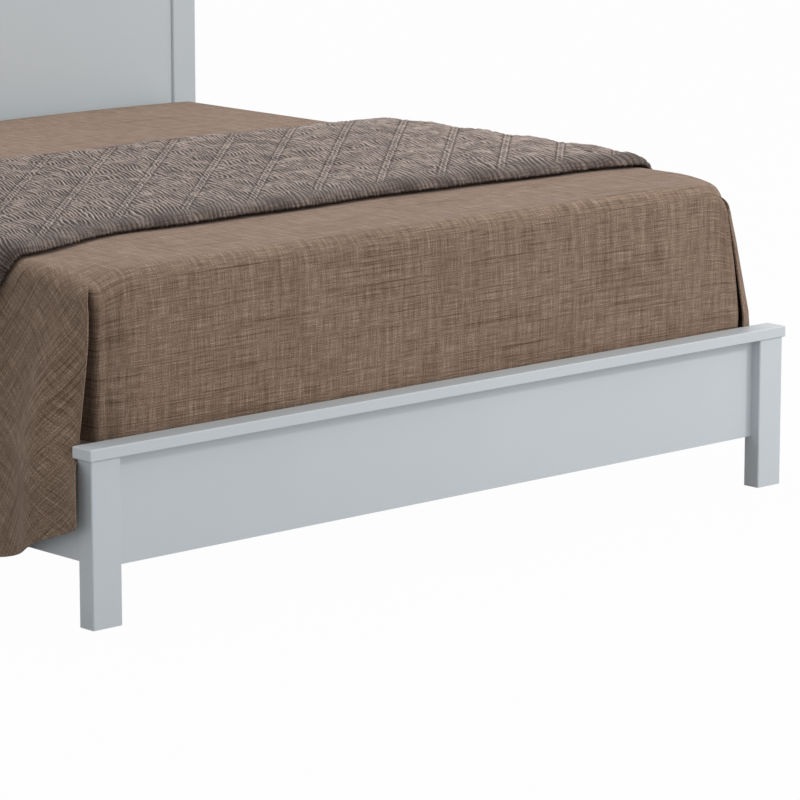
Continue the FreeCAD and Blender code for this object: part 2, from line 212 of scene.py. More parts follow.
# %% [markdown]
# ## Floor and light
#
# A studio shot on white has even light from all round, a soft light above the head end, a small one at the
# front right that draws the cap's shadow on the panel, and a wide, weak one in front. The one above lights
# the bed's top and leaves the cap in the bed's own shade. More light could whiten the floor, but it would
# wash out the pale paint. So the floor and the world look white to the camera through the Light Path node,
# without any more light on the bed.

# %% Lay the floor
white = (1.0, 1.0, 1.0, 1.0)
floor_grey = (0.36, 0.36, 0.36, 1.0)
floor_glow = 0.98


def seen_directly(tree):
    """1 for what the camera sees, straight or in a shine, and 0 for light that falls on the bed."""
    rays = add_node(tree, "ShaderNodeLightPath").outputs
    seen = calculate(tree, "MAXIMUM", rays["Is Camera Ray"], rays["Is Glossy Ray"])
    return calculate(tree, "MAXIMUM", seen, rays["Is Transmission Ray"])


def blend_shaders(tree, share, first, second, end):
    """Mix two shaders into the last node of a tree."""
    made = add_node(tree, "ShaderNodeMixShader", {0: share, 1: first.outputs[0], 2: second.outputs[0]})
    tree.links.new(made.outputs[0], tree.nodes[end].inputs["Surface"])


bpy.ops.object.select_all(action="DESELECT")
bpy.ops.mesh.primitive_plane_add(size=80)
floor = bpy.context.active_object
floor.name = "floor"

floor_finish, tree, shader = start_finish("floor_white")
set_sockets(tree, shader, {"Base Color": floor_grey, "Roughness": 0.9})
glow = add_node(tree, "ShaderNodeEmission", {"Color": white, "Strength": 1.0})
glowing = calculate(tree, "MULTIPLY", seen_directly(tree), floor_glow)
blend_shaders(tree, glowing, shader, glow, "Material Output")
floor.data.materials.append(floor_finish)
print("floor laid")

# %% Set the lights
world = bpy.data.worlds.new("studio")
bpy.context.scene.world = world
world.use_nodes = True
tree = world.node_tree
ambient = tree.nodes["Background"]
set_sockets(tree, ambient, {"Color": (0.97, 0.985, 1.0, 1.0), "Strength": 0.68})
backdrop = add_node(tree, "ShaderNodeBackground", {"Color": white, "Strength": 1.0})
blend_shaders(tree, seen_directly(tree), ambient, backdrop, "World Output")


def hang_softbox(name, place, aim, size, power):
    """A square area lamp that faces a point."""
    bpy.ops.object.select_all(action="DESELECT")
    bpy.ops.object.light_add(type="AREA", location=place)
    lamp = bpy.context.active_object
    lamp.name = name
    lamp.rotation_euler = (Vector(aim) - Vector(place)).to_track_quat("-Z", "Y").to_euler()
    lamp.data.size = size
    lamp.data.energy = power


hang_softbox("overhead_softbox", (0.3, 0.9, 4.4), (0.0, -0.3, 0.6), size=2.6, power=80)
hang_softbox("key_softbox", (3.3, -4.2, 2.9), (0.2, -1.05, 0.35), size=0.6, power=78)
hang_softbox("fill_softbox", (1.6, -6.0, 1.2), (0.0, -1.0, 0.4), size=4.0, power=71)
bpy.context.scene.view_settings.view_transform = "Standard"
print("lights set")

# %% [markdown]
# ## Shared effects
#
# Several finishes share an effect. Boards and plated steel wear along their edges, and on the paint the
# paler edge also stands for a painted highlight. Pine and plywood have grain. The coverlet and the blanket
# are woven.
# Each effect could be drawn again in every finish, but as a node group it is built once, and a change to it
# reaches all of them.

# %% Edges: wear and painted highlight
def make_edge_wear_and_highlight():
    """1 along sharp edges and 0 on flats, broken up by noise."""
    group, entry, leave = start_group(
        "edge_wear_and_highlight",
        [("Place", "NodeSocketVector", None), ("Width", "NodeSocketFloat", 0.003),
         ("Patches", "NodeSocketFloat", 30.0)],
        [("Mask", "NodeSocketFloat")])
    rounded = add_node(group, "ShaderNodeBevel", {"Radius": entry.outputs["Width"]}, samples=6)
    flat = add_node(group, "ShaderNodeNewGeometry")
    facing = add_node(group, "ShaderNodeVectorMath",
                      {0: rounded.outputs[0], 1: flat.outputs["Normal"]}, operation="DOT_PRODUCT")
    turned = calculate(group, "SUBTRACT", 1.0, facing.outputs["Value"])
    turned = calculate(group, "MULTIPLY", turned, 5.0, clamp=True)
    patches = add_noise(group, entry.outputs["Place"], entry.outputs["Patches"], 4.0)
    broken = add_node(group, "ShaderNodeMapRange", {"Value": patches, "From Min": 0.38, "From Max": 0.66})
    edge_mask = calculate(group, "MULTIPLY", turned, broken.outputs[0])
    group.links.new(edge_mask, leave.inputs["Mask"])
    return group


edge_wear_and_highlight = make_edge_wear_and_highlight()
print("edge wear ready")


# %% Wood grain
def make_wood_grain():
    """Growth rings along the first axis of Place, as a tone and a height."""
    group, entry, leave = start_group(
        "wood_grain",
        [("Place", "NodeSocketVector", None), ("Rings", "NodeSocketFloat", 45.0)],
        [("Tone", "NodeSocketFloat"), ("Height", "NodeSocketFloat")])
    stretched = calculate_place(group, "MULTIPLY", entry.outputs["Place"], (0.06, 1.0, 1.0))
    drift = add_node(group, "ShaderNodeTexNoise", {"Vector": stretched, "Scale": 9.0, "Detail": 2.0})
    bend = calculate_place(group, "MULTIPLY", drift.outputs["Color"], (0.0, 0.09, 0.09))
    bent = calculate_place(group, "ADD", stretched, bend)
    rings = add_node(group, "ShaderNodeTexWave",
                     {"Vector": bent, "Scale": entry.outputs["Rings"], "Distortion": 1.5, "Detail": 2.0},
                     wave_type="BANDS", bands_direction="DIAGONAL", wave_profile="SAW")
    fibre_place = calculate_place(group, "MULTIPLY", entry.outputs["Place"], (14.0, 700.0, 700.0))
    fibres = add_noise(group, fibre_place, 1.0)
    tone = calculate(group, "MULTIPLY", fibres, 0.35)
    tone = calculate(group, "MULTIPLY_ADD", rings.outputs["Fac"], 0.65, tone)
    group.links.new(tone, leave.inputs["Tone"])
    group.links.new(fibres, leave.inputs["Height"])
    return group


wood_grain = make_wood_grain()
print("wood grain ready")


# %% Slubbed weave
def make_slub_weave():
    """Threads of uneven thickness that cross, as a tone around 0.5 and a height.

    Cloth is a place on the flat cloth, in metres. Threads is their number for each metre.
    """
    group, entry, leave = start_group(
        "slub_weave",
        [("Cloth", "NodeSocketVector", None), ("Threads", "NodeSocketFloat", 300.0),
         ("Slubs", "NodeSocketFloat", 1.0)],
        [("Tone", "NodeSocketFloat"), ("Height", "NodeSocketFloat")])
    split = add_node(group, "ShaderNodeSeparateXYZ", {0: entry.outputs["Cloth"]})
    across = calculate(group, "MULTIPLY", split.outputs["X"], entry.outputs["Threads"])
    along = calculate(group, "MULTIPLY", split.outputs["Y"], entry.outputs["Threads"])

    def streaks(run_across, run_along, offset, detail):
        """Noise around 0, with so many waves for each thread across and along."""
        first = calculate(group, "MULTIPLY_ADD", across, run_across, offset)
        second = calculate(group, "MULTIPLY", along, run_along)
        joined = add_node(group, "ShaderNodeCombineXYZ", {0: first, 1: second}).outputs[0]
        return calculate(group, "SUBTRACT", add_noise(group, joined, 1.0, detail, "2D"), 0.5)

    def sparse(made):
        """Only the strongest streaks."""
        return calculate(group, "MULTIPLY", made, calculate(group, "ABSOLUTE", made))

    mixed = calculate(group, "ADD", streaks(0.75, 0.034, 3.0, 1.0), streaks(0.026, 0.75, 17.0, 1.0))
    crossings = streaks(0.62, 0.62, 29.0, 0.0)
    bands = streaks(0.12, 0.006, 41.0, 1.0)
    slubs_over = calculate(group, "MINIMUM", sparse(streaks(0.004, 0.45, 67.0, 1.0)), 0.012)
    slubs_down = sparse(streaks(0.45, 0.008, 83.0, 1.0))
    for part, share in ((bands, 0.42), (crossings, 0.85), (slubs_over, 6.2), (slubs_down, 1.7)):
        mixed = calculate(group, "MULTIPLY_ADD", part, share, mixed)
    tone = calculate(group, "MULTIPLY_ADD", mixed, entry.outputs["Slubs"], 0.5)
    over = calculate(group, "SINE", calculate(group, "MULTIPLY", across, 2 * math.pi))
    under = calculate(group, "SINE", calculate(group, "MULTIPLY", along, 2 * math.pi))
    crossing = calculate(group, "MULTIPLY", over, under)
    height = calculate(group, "MULTIPLY_ADD", crossing, 0.22, tone)
    group.links.new(tone, leave.inputs["Tone"])
    group.links.new(height, leave.inputs["Height"])
    return group


slub_weave = make_slub_weave()
print("weave ready")

# %% [markdown]
# ## Painted wood
#
# The footboard, headboard, rails and drawer fronts have a cool, pale satin paint. A plain colour would look
# like plastic. A roller leaves a fine stipple and the coat is never quite even. The edges are a little
# paler, partly wear where hands and bedding rub and partly a painted highlight. The colour comes from object
# coordinates, so it doesn't slide from board to board.

# %% Satin paint
def make_satin_paint():
    """Pale paint with an uneven gloss, a roller's stipple and paler edges, part wear and part painted
    highlight.
    """
    finish, tree, shader = start_finish("satin_paint")
    place = object_place(tree)
    clouds = add_noise(tree, place, 2.6, 3.0)
    stipple = add_noise(tree, place, 420.0)
    coat = mix_colours(tree, clouds, linear(194, 200, 204), linear(201, 206, 209))
    edge_mask = use_group(tree, edge_wear_and_highlight, {"Place": place, "Width": 0.0028, "Patches": 22.0})
    # Paler edges: part wear, part painted highlight.
    paler_edges = calculate(tree, "MULTIPLY", edge_mask["Mask"], 0.15)
    coat = mix_colours(tree, paler_edges, coat, linear(222, 223, 222))
    gloss = spread(tree, clouds, 0.34, 0.46)
    set_sockets(tree, shader, {"Base Color": coat, "Roughness": gloss, "Specular IOR Level": 0.45})
    raise_bumps(tree, shader, stipple, distance=0.00022, strength=0.5)
    return finish


satin_paint = make_satin_paint()
print("finish:", satin_paint.name)

# %% [markdown]
# ## Bare wood, plywood, steel and plastic
#
# Hidden boards are planed pine, which runs lengthwise on each board, so there is one finish for boards
# along X, one for boards along Y and one for uprights. The drawer bottoms and partitions are birch plywood.
# A picture of wood could be wrapped round a board, but grain made from noise needs no picture and shows
# right on every face. Brackets, bolts and slides are zinc plated, with a cloudy, slightly yellow crystal
# pattern. The centre legs stand on plastic pads.

# %% Pine and plywood
grain_turns = {"x": (0.0, 0.0, 0.0), "y": (0.0, 0.0, math.pi / 2), "z": (0.0, math.pi / 2, 0.0)}


def make_wood(name, axis, rings, dark, light):
    """Bare wood with its grain along one axis and rubbed edges."""
    finish, tree, shader = start_finish(name + "_" + axis)
    place = object_place(tree)
    turned = add_node(tree, "ShaderNodeMapping", {"Vector": place, "Rotation": grain_turns[axis]})
    grain = use_group(tree, wood_grain, {"Place": turned.outputs[0], "Rings": rings})
    colour = mix_colours(tree, grain["Tone"], light, dark)
    edge_mask = use_group(tree, edge_wear_and_highlight, {"Place": place, "Width": 0.002, "Patches": 40.0})
    rubbed = calculate(tree, "MULTIPLY", edge_mask["Mask"], 0.3)
    colour = mix_colours(tree, rubbed, colour, dark)
    rough = spread(tree, grain["Tone"], 0.52, 0.7)
    set_sockets(tree, shader, {"Base Color": colour, "Roughness": rough})
    raise_bumps(tree, shader, grain["Height"], distance=0.0003, strength=0.6)
    return finish


pine_tones = (linear(190, 150, 104), linear(224, 192, 148))
plywood_tones = (linear(196, 166, 124), linear(222, 197, 158))
pine = {axis: make_wood("pine", axis, 16.0, *pine_tones) for axis in "xyz"}
plywood = {axis: make_wood("plywood", axis, 7.0, *plywood_tones) for axis in "xy"}
print("finishes:", [finish.name for finish in (*pine.values(), *plywood.values())])


# %% Steel and plastic
def make_zinc():
    """Zinc plate with cloudy crystals and brighter edges."""
    finish, tree, shader = start_finish("zinc_plate")
    place = object_place(tree)
    crystals = add_node(tree, "ShaderNodeTexVoronoi", {"Vector": place, "Scale": 160.0})
    clouds = add_noise(tree, place, 24.0, 4.0)
    colour = mix_colours(tree, clouds, linear(168, 170, 172), linear(204, 203, 196))
    colour = mix_colours(tree, 0.12, colour, crystals.outputs["Color"], "SOFT_LIGHT")
    edge_mask = use_group(tree, edge_wear_and_highlight, {"Place": place, "Width": 0.0012, "Patches": 60.0})
    colour = mix_colours(tree, edge_mask["Mask"], colour, linear(226, 226, 224))
    rough = spread(tree, clouds, 0.26, 0.48)
    set_sockets(tree, shader, {"Base Color": colour, "Metallic": 1.0, "Roughness": rough})
    raise_bumps(tree, shader, clouds, distance=0.0002, strength=0.4)
    return finish


def make_pad_plastic():
    """Black plastic with scuffs and fine pores."""
    finish, tree, shader = start_finish("pad_plastic")
    place = object_place(tree)
    pores = add_node(tree, "ShaderNodeTexVoronoi", {"Vector": place, "Scale": 900.0})
    scuffs = add_noise(tree, place, 70.0, 5.0)
    colour = mix_colours(tree, scuffs, linear(30, 30, 31), linear(52, 52, 53))
    set_sockets(tree, shader, {"Base Color": colour, "Roughness": 0.55})
    raise_bumps(tree, shader, pores.outputs["Distance"], distance=0.0002, strength=0.6)
    return finish


zinc = make_zinc()
pad_plastic = make_pad_plastic()
print("finishes:", zinc.name, pad_plastic.name)

# %% Dress the boards and fittings
painted = ("footboard_leg", "footboard_panel", "footboard_cap", "headboard", "rail_", "stile_",
           "drawer_front")
steel = ("slides", "runner_channels", "beam_hangers", "corner_")
grain_axis = {"slats": "x", "centre_leg": "z", "cap_dowels": "z", "drawer_side": "x", "partition": "x",
              "footboard_cleat": "x"}


def finish_for(name):
    """The finish of a board or fitting, by its name."""
    if any(word in name for word in steel):
        return zinc
    if name == "centre_leg_pads":
        return pad_plastic
    if name.startswith(painted):
        return satin_paint
    axis = next((way for word, way in grain_axis.items() if word in name), "y")
    return plywood[axis] if "bottom" in name or "partition" in name else pine[axis]


bedding = ("mattress", "coverlet", "coverlet_drop_left", "coverlet_drop_right", "blanket")
for name, node in nodes.items():
    if name in bedding:
        continue
    node.data.materials.clear()
    node.data.materials.append(finish_for(name))
print("dressed:", len(nodes) - len(bedding), "boards and fittings")

# %% [markdown]
# ## Cloth helpers
#
# Every sheet starts as a flat grid, the cut piece of cloth, and its points are then moved to where the cloth
# hangs. Cloth could be dropped on the bed by a simulation, but the pleat, the tuck and the gathers have to
# lie at known places. The flat place of each point is kept as the UV map in metres, so threads keep their
# real thickness and run on over a bend.

# %% Cloth helpers
def smooth_step(start, end, value):
    """From 0 at start to 1 at end, without a corner."""
    share = np.clip((value - start) / (end - start), 0.0, 1.0)
    return share * share * (3 - 2 * share)


def soft_noise(first, second, seed=0.0):
    """Smooth noise from -1 to 1, for arrays of places."""
    flat = [noise.noise(Vector((x, y, seed))) for x, y in zip(np.ravel(first), np.ravel(second))]
    return np.array(flat).reshape(np.shape(first))


def read_places(mesh):
    """The places of a mesh's points, as rows of an array."""
    places = np.zeros(len(mesh.vertices) * 3, dtype=np.float32)
    mesh.vertices.foreach_get("co", places)
    return places.reshape(-1, 3)


def cut_cloth(name, points, maps, attributes=None):
    """A grid of cloth. points holds a place for each column and row, and each map a flat place."""
    columns, rows = points.shape[:2]
    bpy.ops.object.select_all(action="DESELECT")
    bpy.ops.mesh.primitive_grid_add(x_subdivisions=columns - 1, y_subdivisions=rows - 1, size=2)
    piece = bpy.context.active_object
    piece.name = name
    mesh = piece.data
    mesh.name = name
    start = read_places(mesh)
    column = np.rint((start[:, 0] + 1) / 2 * (columns - 1)).astype(int)
    row = np.rint((start[:, 1] + 1) / 2 * (rows - 1)).astype(int)
    mesh.vertices.foreach_set("co", points[column, row].astype(np.float32).ravel())
    corner = np.zeros(len(mesh.loops), dtype=int)
    mesh.loops.foreach_get("vertex_index", corner)
    mesh.uv_layers.remove(mesh.uv_layers[0])
    for label, cloth in maps.items():
        kept = mesh.uv_layers.new(name=label)
        kept.data.foreach_set("uv", cloth[column, row][corner].astype(np.float32).ravel())
    for label, values in (attributes or {}).items():
        kept = mesh.attributes.new(label, "FLOAT", "POINT")
        kept.data.foreach_set("value", values[column, row].astype(np.float32))
    mesh.update()
    return piece


print("cloth helpers ready")

# %% Mesh helpers
cloth_thickness = 0.0035


def work_on(piece):
    """Make one piece the only selected and active object."""
    bpy.ops.object.select_all(action="DESELECT")
    piece.select_set(True)
    bpy.context.view_layer.objects.active = piece


def tidy_mesh(piece, gap=0.0002):
    """Merge points that lie together and turn all faces outwards."""
    work_on(piece)
    bpy.ops.object.mode_set(mode="EDIT")
    bpy.ops.mesh.select_all(action="SELECT")
    bpy.ops.mesh.remove_doubles(threshold=gap)
    bpy.ops.mesh.normals_make_consistent(inside=False)
    bpy.ops.object.mode_set(mode="OBJECT")


def join_pieces(pieces, name):
    """Join cut pieces into one, sewn where their edges meet."""
    work_on(pieces[0])
    for piece in pieces[1:]:
        piece.select_set(True)
    bpy.ops.object.join()
    joined = bpy.context.active_object
    joined.name = name
    joined.data.name = name
    tidy_mesh(joined)
    return joined


def thicken(piece):
    """Give a sheet its real thickness, inwards, and smooth shading."""
    work_on(piece)
    solid = piece.modifiers.new("thickness", "SOLIDIFY")
    solid.thickness = cloth_thickness
    solid.offset = -1.0
    bpy.ops.object.modifier_apply(modifier=solid.name)
    bpy.ops.object.shade_smooth_by_angle(angle=math.radians(50))


print("mesh helpers ready")

# %% [markdown]
# ## The coverlet's shape
#
# The coverlet lies over a crowned mattress, turns down over a soft crest at the foot and is tucked in
# behind the footboard's cap. It also turns down over both sides. The crest is a quarter circle, and where
# two crests meet at a corner the cloth falls away on both. These functions give the place of a point from
# its distance over the cloth: a across from the middle, b along from the start of the foot crest.

# %% Coverlet shape
seam_height = 0.669
crest_radius = 0.0395
crest_length = crest_radius * math.pi / 2
flat_half = 0.925
side_edge = flat_half + crest_length
foot_crest = -0.968
head_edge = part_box("coverlet")[1].y
top_height = seam_height + crest_radius
crown_rise = 0.009
tuck_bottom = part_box("coverlet")[0].z
bed_middle = 0.007
bed_half = 0.975
sink_left = 0.021
sink_right = 0.026
pull_right = 0.05
right_curl = 0.022
tuck_depth = 0.022
tuck_start = 0.815
tuck_width = 0.11


def over_crest(past):
    """How far out and down a point is, for its distance past the start of a crest."""
    angle = np.clip(past, 0.0, crest_length) / crest_radius
    return crest_radius * np.sin(angle), crest_radius * (1 - np.cos(angle))


def crown(x, y):
    """The rise of the mattress towards its middle."""
    across = np.clip(1 - (x / flat_half) ** 4, 0, None)
    along = np.clip(1 - ((y - bed_middle) / bed_half) ** 2, 0, None)
    return crown_rise * across * (0.5 + 0.5 * along)


def corner_shares(x, y, across, along):
    """1 at a foot corner of the mattress, down to 0 at a distance across and along."""
    near_side = np.clip(1 - (flat_half - np.abs(x)) / across, 0, 1)
    near_foot = np.clip(1 - (y - foot_crest) / along, 0, 1)
    return near_side ** 2 * near_foot ** 2


def sink_corner(x, y):
    """How far the padding has sunk at the foot corners. The right one has sunk more."""
    return np.where(x < 0, sink_left, sink_right) * corner_shares(x, y, 0.10, 0.16)


def pull_corner(x, y, z):
    """How far the cloth is pulled in round the right foot corner, above the footboard."""
    above = np.clip((z - 0.40) / 0.28, 0, 1)
    return np.where(x > 0, pull_right, 0.0) * corner_shares(x, y, 0.08, 0.06) * above


def tuck_corner(x):
    """How far the foot curves back near the left corner, towards the open pleat."""
    return tuck_depth * np.clip((-x - tuck_start) / tuck_width, 0, 1) ** 2


def curl_share(b):
    """1 at the front edge of a side, down to 0 a little way back."""
    return 1 - smooth_step(0.0, 0.04, b + crest_length)


def top_waves(x, y):
    """Slow, shallow waves of cloth that isn't pulled tight."""
    edge = smooth_step(0.0, 0.25, y - foot_crest) * smooth_step(0.0, 0.2, flat_half - np.abs(x))
    slow = 0.0022 * soft_noise(x * 2.2, y * 3.1, 4.0)
    narrow = 0.0024 * soft_noise(x * 2.4, y * 15.0, 5.0)
    return edge * (slow + narrow)


print("crest from", round(top_height, 4), "down to", seam_height)

# %% Coverlet threads
bias_turn = math.radians(33)


def weave_maps(a, b):
    """Two flat places for each point: with the threads square to the bed, and with them on the bias."""
    side = np.sign(a)
    x = a - side * flat_half
    turn = -side * bias_turn
    slanted = [np.cos(turn) * x - np.sin(turn) * b, np.sin(turn) * x + np.cos(turn) * b]
    return {"cloth": np.stack([a, b], axis=-1), "bias": np.stack(slanted, axis=-1)}


def bias_share(a, b):
    """1 where the cloth hangs on the bias, on the sides near the foot corners."""
    return smooth_step(-0.07, 0.05, np.abs(a) - flat_half) * (1 - smooth_step(0.45, 1.1, b))


print("threads on the bias turn by", round(math.degrees(bias_turn)), "degrees")

# %% [markdown]
# ## The coverlet's top and foot
#
# Three kinds of grid are cut and sewn together: the top with both side crests, the strip that hangs at the
# foot, and a small gusset at each foot corner. One grid folded round the corner would crease, as paper
# does. The foot strip turns in at its ends and runs back under the side. Near the left corner it also
# curves back, which leaves the dark open pleat that shows there.

# %% Cut the top
crest_steps = 9
crest_run = np.linspace(0.0, crest_length, crest_steps + 1)
flat_columns = np.linspace(-flat_half, flat_half, 141)
top_columns = np.concatenate([-flat_half - crest_run[:0:-1], flat_columns, flat_half + crest_run[1:]])
top_rows = np.linspace(0.0, head_edge - foot_crest, 139)

a, b = np.meshgrid(top_columns, top_rows, indexing="ij")
out, down = over_crest(np.abs(a) - flat_half)
x = np.sign(a) * (np.minimum(np.abs(a), flat_half) + out)
y = foot_crest + b
z = top_height - down + crown(x, y) + top_waves(x, y) - sink_corner(x, y)
x = x - pull_corner(x, y, z)
top_sheet = cut_cloth("coverlet_top", np.stack([x, y, z], axis=-1), weave_maps(a, b),
                      {"on_bias": bias_share(a, b)})
print("top cut:", len(top_columns), "by", len(top_rows), "points")

# %% Cut the foot
turn_start = 0.009
turn_radius = 0.013
turn_length = turn_radius * math.pi / 2
tuck_slant = 0.92
turn_run = np.concatenate([[0.0, 0.004], turn_start + np.linspace(0.0, turn_length, 5),
                           np.linspace(0.045, 0.105, 4)])
foot_columns = np.concatenate([-flat_half - turn_run[:0:-1], flat_columns, flat_half + turn_run[1:]])
hang_rows = np.linspace(0.0, seam_height - tuck_bottom, 25)[1:]
foot_rows = np.concatenate([crest_run, crest_length + hang_rows])

a, fall = np.meshgrid(foot_columns, foot_rows, indexing="ij")
out, down = over_crest(fall)
down = down + np.clip(fall - crest_length, 0, None)
past = np.clip(np.abs(a) - flat_half, 0, None) * smooth_step(0.0, 0.06, fall)
bent = np.clip(past - turn_start, 0, turn_length) / turn_radius
sideways = np.minimum(past, turn_start) + turn_radius * np.sin(bent)
inward = turn_radius * (1 - np.cos(bent)) + np.clip(past - turn_start - turn_length, 0, None)
x = np.sign(a) * (np.minimum(np.abs(a), flat_half) + sideways)
bulge = 0.005 * np.sin(math.pi * np.clip((fall - 0.03) / 0.33, 0, 1))
ripple = 0.003 * smooth_step(0.05, 0.25, fall) * soft_noise(a * 3.4, fall * 1.5, 9.0)
# A crease has a place across the bed, a width, a depth, and a drift for each metre of fall.
creases = [(0.815, 0.012, 0.0035, 0.02), (0.852, 0.010, 0.0045, 0.03), (0.885, 0.009, 0.0040, 0.0),
           (0.33, 0.030, 0.0030, 0.10), (-0.02, 0.045, 0.0030, -0.12), (-0.48, 0.040, 0.0028, 0.08)]
for place, width, deep, drift in creases:
    ripple += deep * np.exp(-((a - place - drift * fall) / width) ** 2) * smooth_step(0.03, 0.16, fall)
tuck = tuck_corner(x) * smooth_step(0.03, 0.14, fall)
x = x + tuck_slant * tuck
y = foot_crest - out - bulge + ripple + inward + tuck
crest_line = np.full_like(y, foot_crest)
sunk = sink_corner(x, crest_line) * (1 - smooth_step(0.02, 0.33, fall))
z = top_height - down + crown(x, crest_line) - sunk
x = x - pull_corner(x, y, z)
foot_sheet = cut_cloth("coverlet_foot", np.stack([x, y, z], axis=-1), weave_maps(a, -fall),
                       {"on_bias": np.zeros_like(a)})
print("foot cut:", len(foot_columns), "by", len(foot_rows), "points")

# %% Cut the gussets and sew
gussets = []
share = np.linspace(0.0, 1.0, crest_steps + 1)
first, second = np.meshgrid(share, share, indexing="ij")
for side, curl in ((-1, 0.0), (1, right_curl)):
    a = side * (flat_half + first * crest_length)
    b = -first * second * crest_length
    out_x, down_x = over_crest(first * crest_length)
    out_y, down_y = over_crest(-b)
    x = side * (flat_half + out_x)
    y = foot_crest - out_y
    z = top_height - np.hypot(down_x, down_y) - sink_corner(x, y)
    x = x - pull_corner(x, y, z) - side * curl * curl_share(b) * first
    gussets.append(cut_cloth("gusset", np.stack([x, y, z], axis=-1), weave_maps(a, b),
                             {"on_bias": bias_share(a, b)}))

coverlet = join_pieces([top_sheet, foot_sheet, *gussets], "coverlet_spread")
thicken(coverlet)
print("coverlet:", len(coverlet.data.polygons), "faces")

# %% [markdown]
# ## The coverlet's sides
#
# Each side drop hangs from the side crest, leans out over the rail and falls straight to its hem. It has
# soft folds that deepen towards the hem. At the foot corner its edge curls in above the cap, and its hem is
# cut higher. It could be one sheet with the top, but it is a piece of its own, because a hand gathers it up
# before the drawer behind it is pulled.

# %% Hang the side drops
rail_face = -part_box("rail_left")[0].x
rail_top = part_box("rail_left")[1].z
rail_share = 0.62
rail_ease = 0.006
cap_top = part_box("footboard_cap")[1].z
hem_level = 0.098
hem_corner = 0.218
hem_run = 0.30
fold_ease = 0.0045
front_reach = 0.085
lean_start = 0.64
fall_curve = 1.2
bulge_place = -0.935
bulge_width = 0.07
# A fold has a place along the bed, a width, a depth, and a drift for each metre of fall.
folds_left = [(-0.70, 0.075, 0.012, 0.10), (-0.42, 0.06, 0.015, -0.05), (-0.14, 0.08, 0.013, 0.08),
              (0.17, 0.06, 0.015, -0.06), (0.47, 0.08, 0.018, 0.07), (0.75, 0.06, 0.016, -0.04)]
folds_right = [(-0.74, 0.06, 0.012, -0.04), (-0.50, 0.08, 0.014, 0.09), (-0.20, 0.06, 0.015, -0.07),
               (0.08, 0.08, 0.013, 0.05), (0.40, 0.06, 0.018, -0.05), (0.69, 0.08, 0.017, 0.06)]


def side_drop(name, side, folds, corner_lean, corner_curl, corner_flare, seed):
    """One hanging side of the coverlet, from its seam to its hem."""
    corner = np.linspace(1.0, 0.0, crest_steps + 1)[:-1] * -crest_length
    run = np.concatenate([corner, top_rows])
    above_rail = np.linspace(0.0, rail_share, 26)[:-1]
    share = np.concatenate([above_rail, np.linspace(rail_share, 1.0, 17)])
    b, down_share = np.meshgrid(run, share, indexing="ij")
    out_y, down_y = over_crest(-b)
    start_y = np.where(b < 0, foot_crest - out_y, foot_crest + b)
    edge = flat_half + crest_radius
    start_z = top_height - np.hypot(crest_radius, down_y) - sink_corner(side * edge + 0 * b, start_y)
    to_hem = np.clip((b + crest_length) / hem_run, 0, 1)
    hem = hem_level + (hem_corner - hem_level) * (1 - np.sin(to_hem * math.pi / 2))
    z = start_z + (hem - start_z) * down_share
    fall = np.clip((seam_height - z) / (seam_height - rail_top - rail_ease), 0, 1)
    front = 1 - smooth_step(0.0, front_reach, b + crest_length)
    corner_fall = np.clip((lean_start - z) / (lean_start - cap_top), 0, 1)
    past_cap = smooth_step(cap_top - 0.016, cap_top - 0.046, z)
    rest = rail_face + cloth_thickness
    at_corner = corner_lean * corner_fall ** fall_curve
    at_corner += (rest + corner_flare - edge - corner_lean) * past_cap
    at_side = (rest + fold_ease - edge) * fall ** fall_curve
    grow = smooth_step(0.05, 0.75, fall) + 0.55 * smooth_step(rail_top, hem_level, z)
    depth = 0.0025 * (1 + soft_noise(start_y * 5.0, z * 3.0, seed))
    for place, width, deep, drift in folds:
        middle = place + drift * (seam_height - z)
        depth += deep * np.exp(-((start_y - middle) / width) ** 2)
    bulge = 1.25 * corner_flare * np.exp(-((start_y - bulge_place) / bulge_width) ** 2)
    at_side += depth * grow + bulge * smooth_step(0.66, 0.42, z)
    reach = edge + at_corner * front + at_side * (1 - front)
    reach -= corner_curl * curl_share(b) * smooth_step(cap_top - 0.037, cap_top - 0.012, z)
    forward = 0.007 * smooth_step(0.66, 0.55, z) + (0.013 + 1.1 * corner_flare) * past_cap
    y = start_y - forward * front
    x = side * reach
    x = x - pull_corner(x, start_y, z)
    a = side * (side_edge + (start_z - z))
    return cut_cloth(name, np.stack([x, y, z], axis=-1), weave_maps(a, b),
                     {"on_bias": bias_share(a, b), "to_hem": 1 - (z - hem)})


drop_left = side_drop("coverlet_side_left", -1, folds_left, corner_lean=0.032, corner_curl=0.0,
                      corner_flare=0.030, seed=21.0)
drop_right = side_drop("coverlet_side_right", 1, folds_right, corner_lean=0.0085, corner_curl=right_curl,
                       corner_flare=0.0, seed=33.0)
for drop in (drop_left, drop_right):
    tidy_mesh(drop)
print("side drops:", len(drop_left.data.polygons), "faces each")

# %% Give the drops their thickness
for drop, side in ((drop_left, -1), (drop_right, 1)):
    if drop.data.polygons[0].normal.x * side < 0:
        work_on(drop)
        bpy.ops.object.mode_set(mode="EDIT")
        bpy.ops.mesh.select_all(action="SELECT")
        bpy.ops.mesh.flip_normals()
        bpy.ops.object.mode_set(mode="OBJECT")
    thicken(drop)
print("side drops thickened")

# %% [markdown]
# ## The coverlet's linen
#
# The cloth is a taupe linen with slubs, thick and thin threads that show as fine crossing streaks. Threads
# a millimetre wide are too fine to model, so they are a pattern on the flat cloth. The linen has almost no
# shine, only the faint bloom of loose fibres. The hem is turned twice and stitched.

# %% Slubbed linen
linen_threads = 660.0
linen_slubs = 0.54
hem_depth = 0.0245
stitch_level = 0.022
stitch_half = 0.0011
stitch_length = 0.0035


